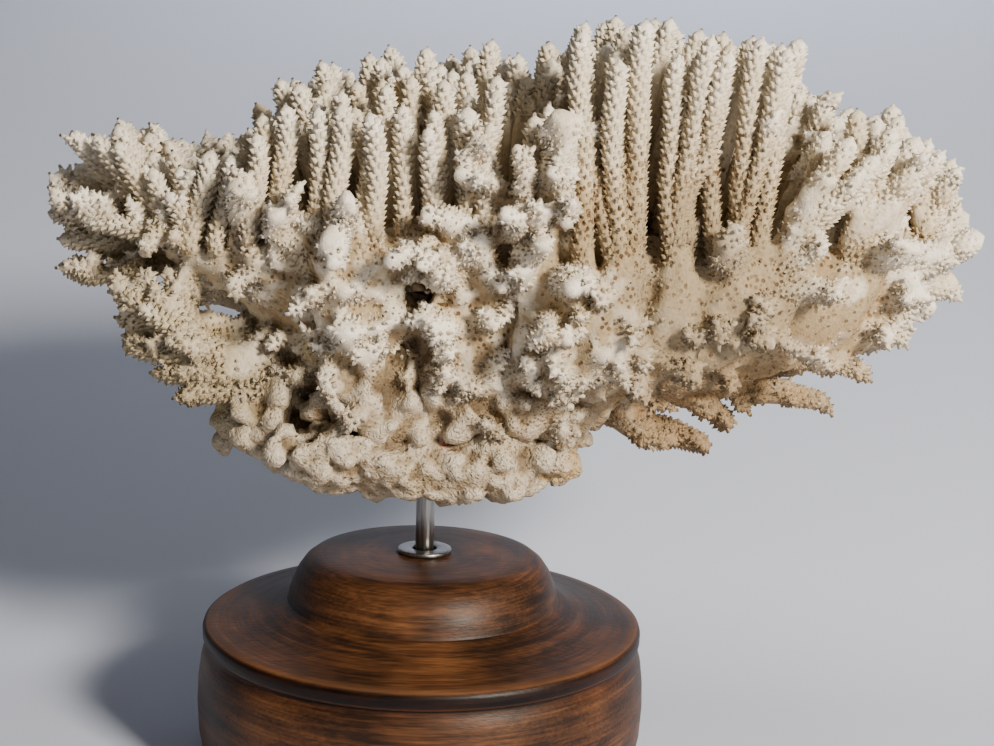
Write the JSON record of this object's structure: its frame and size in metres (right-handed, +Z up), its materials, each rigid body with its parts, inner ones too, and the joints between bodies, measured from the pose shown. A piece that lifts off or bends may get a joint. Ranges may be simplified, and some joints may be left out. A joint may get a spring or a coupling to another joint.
{
  "type": "branching table coral on a turned wooden stand",
  "caption": "Bleached branching table coral colony with upright fingers, held on a steel rod with a washer over a turned, dark stained wooden base.",
  "frame": {"origin": "centre of the wooden base's underside, on the rod's axis", "axes": "+Z up along the rod, -Y towards the picture's camera, +X to its right, along the coral's longest spread"},
  "size_m": [0.379, 0.2168, 0.3164],
  "materials": {
    "stained_wood": "dark walnut stain, satin wax",
    "zinc_washer": "zinc plated, dull",
    "steel_rod": "bright drawn steel",
    "coral_root": "dead, worn, pored limestone skeleton",
    "coral_skeleton": "bleached limestone skeleton, matt, with cup-like corallites"
  },
  "bodies": {
    "root": {"wooden_base": "stained_wood", "washer": "zinc_washer", "steel_rod": "steel_rod", "coral_root_stem": "coral_root", "coral_limb_right": "coral_skeleton", "coral_limb_right_back": "coral_skeleton", "coral_limb_back_right": "coral_skeleton", "coral_limb_back": "coral_skeleton", "coral_limb_left_back": "coral_skeleton", "coral_limb_left": "coral_skeleton", "coral_limb_front_left": "coral_skeleton", "coral_limb_front_left_middle": "coral_skeleton", "coral_limb_front": "coral_skeleton", "coral_limb_front_right": "coral_skeleton", "coral_limb_right_front": "coral_skeleton"}
  },
  "joints": []
}
